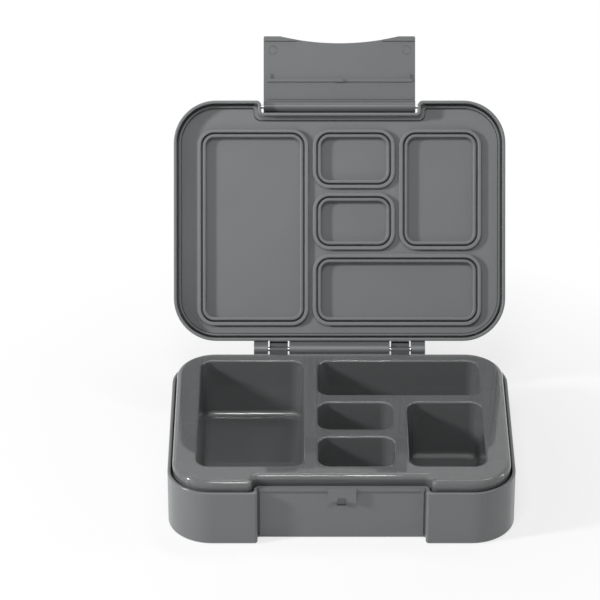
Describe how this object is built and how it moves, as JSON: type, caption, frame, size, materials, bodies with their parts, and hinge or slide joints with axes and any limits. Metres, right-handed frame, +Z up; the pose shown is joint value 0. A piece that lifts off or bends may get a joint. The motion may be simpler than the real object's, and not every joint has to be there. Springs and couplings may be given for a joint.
{
  "type": "bento lunch box",
  "caption": "Leak-proof lunch box with a lift-out compartment tray, a silicone seal, a hinged lid and a front latch flap.",
  "frame": {"origin": "centre of the base tub's flat underside", "axes": "+Z up, -Y towards the latch recess in the front, +X to the right seen from the front"},
  "size_m": [0.218, 0.2749, 0.2176],
  "materials": {
    "slate_plastic": "glossy",
    "slate_plastic_lid": "satin",
    "slate_plastic_latch": "satin",
    "smoke_plastic": "glossy, translucent",
    "silicone": "matte",
    "steel_hinge_rod": "satin",
    "steel_latch_rod": "satin"
  },
  "bodies": {
    "base": {"base_tub": "slate_plastic"},
    "tray": {"compartment_tray": "smoke_plastic"},
    "hinge_pin": {"hinge_rod": "steel_hinge_rod"},
    "lid": {"lid": "slate_plastic_lid", "latch_rod": "steel_latch_rod"},
    "latch": {"latch_flap": "slate_plastic_latch"},
    "seal": {"silicone_seal": "silicone"}
  },
  "joints": [
    {"name": "tray_lift", "type": "slide", "parent": "base", "child": "tray", "axis": [0, 0, 1], "range_m": [0, 0.05]},
    {"name": "lid_unclip", "type": "slide", "parent": "base", "child": "hinge_pin", "axis": [0, 0, 1], "range_m": [0, 0.04]},
    {"name": "lid_hinge", "type": "hinge", "parent": "hinge_pin", "child": "lid", "pos_m": [0, 0.0845, 0.042], "axis": [-1, 0, 0], "range_deg": [-120, 0]},
    {"name": "latch_hinge", "type": "hinge", "parent": "lid", "child": "latch", "pos_m": [0, 0.16955, 0.1773], "axis": [-1, 0, 0], "range_deg": [-90, 0]},
    {"name": "seal_peel", "type": "slide", "parent": "lid", "child": "seal", "axis": [0, -0.866, 0.5], "range_m": [0, 0.04]}
  ]
}
